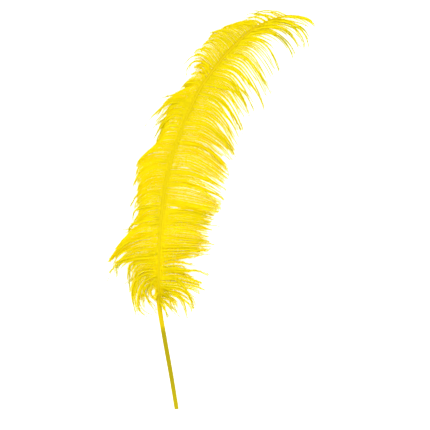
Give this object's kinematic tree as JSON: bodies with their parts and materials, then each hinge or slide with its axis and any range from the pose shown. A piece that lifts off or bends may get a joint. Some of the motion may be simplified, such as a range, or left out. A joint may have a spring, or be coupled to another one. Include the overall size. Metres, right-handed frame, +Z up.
{
  "type": "ostrich feather",
  "caption": "Long curved ostrich plume lying flat: a slender bent shaft with a bare quill, two drooping vanes of soft locks, a curled tip and a downy base.",
  "frame": {"origin": "on the surface that the feather lies on, under the middle of its outline", "axes": "+Z up from the surface, +Y from the cut quill towards the tip of the feather, +X towards the vane that the tip curls over"},
  "size_m": [0.236, 0.4418, 0.0197],
  "materials": {
    "dyed_barbs": "matte, soft, fibrous"
  },
  "bodies": {
    "root": {"feather": "dyed_barbs"}
  },
  "joints": []
}
